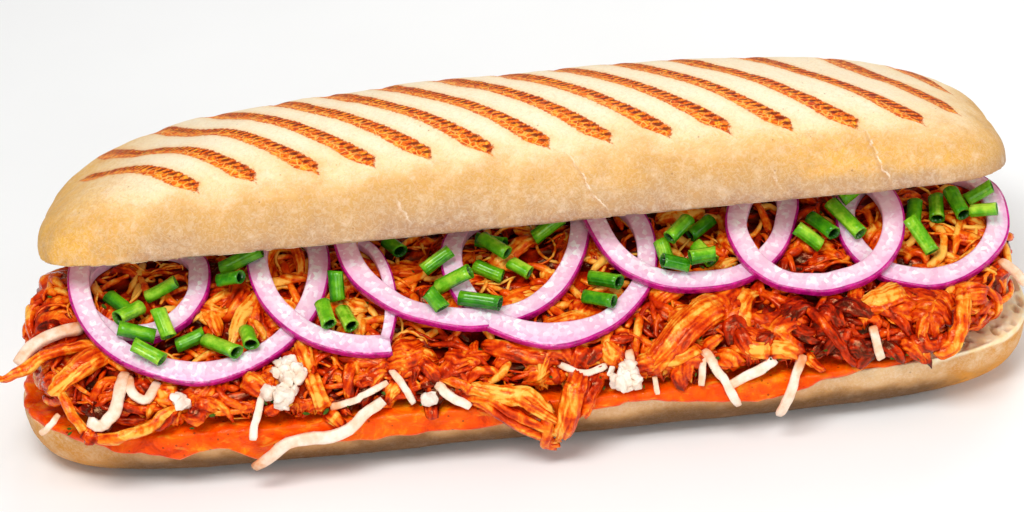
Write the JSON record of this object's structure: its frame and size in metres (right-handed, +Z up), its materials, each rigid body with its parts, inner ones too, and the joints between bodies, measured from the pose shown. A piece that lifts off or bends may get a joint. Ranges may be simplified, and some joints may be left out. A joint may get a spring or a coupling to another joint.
{
  "type": "grilled panini sandwich",
  "caption": "Grilled bread roll, split lengthwise and filled with pulled meat in sauce, grated cheese, onion rings and cut chives, open along its front.",
  "frame": {"origin": "middle of the bottom of the whole panini's box, on the flat face it rests on", "axes": "+X along the roll, +Z up, and the open front with the filling faces -Y"},
  "size_m": [0.2636, 0.1, 0.0782],
  "materials": {
    "bread_lower": "baked crust, matte",
    "bread_upper": "pale baked crust with grill marks, satin",
    "sauce": "wet, glossy",
    "cheese": "grated, waxy",
    "chicken": "fibrous, wet with sauce",
    "onion": "pale pink with a magenta skin, moist",
    "chive": "green, waxy"
  },
  "bodies": {
    "root": {"bread_lower": "bread_lower", "bread_upper": "bread_upper", "sauce": "sauce", "cheese": "cheese", "chicken": "chicken", "onion_a": "onion", "onion_b": "onion", "onion_c": "onion", "onion_d": "onion", "onion_e": "onion", "onion_f": "onion", "onion_g": "onion", "onion_h": "onion", "onion_i": "onion", "chive_01": "chive", "chive_02": "chive", "chive_03": "chive", "chive_04": "chive", "chive_05": "chive", "chive_06": "chive", "chive_07": "chive", "chive_08": "chive", "chive_09": "chive", "chive_10": "chive", "chive_11": "chive", "chive_12": "chive", "chive_13": "chive", "chive_14": "chive", "chive_15": "chive", "chive_16": "chive", "chive_17": "chive", "chive_18": "chive", "chive_19": "chive", "chive_20": "chive", "chive_21": "chive", "chive_22": "chive", "chive_23": "chive", "chive_24": "chive", "chive_25": "chive", "chive_26": "chive", "chive_27": "chive", "chive_28": "chive", "chive_29": "chive", "chive_30": "chive", "chive_31": "chive", "chive_32": "chive", "chive_33": "chive", "chive_34": "chive", "chive_35": "chive", "chive_36": "chive", "chive_37": "chive", "chive_38": "chive", "chive_39": "chive", "chive_40": "chive", "chive_41": "chive", "chive_42": "chive"}
  },
  "joints": []
}
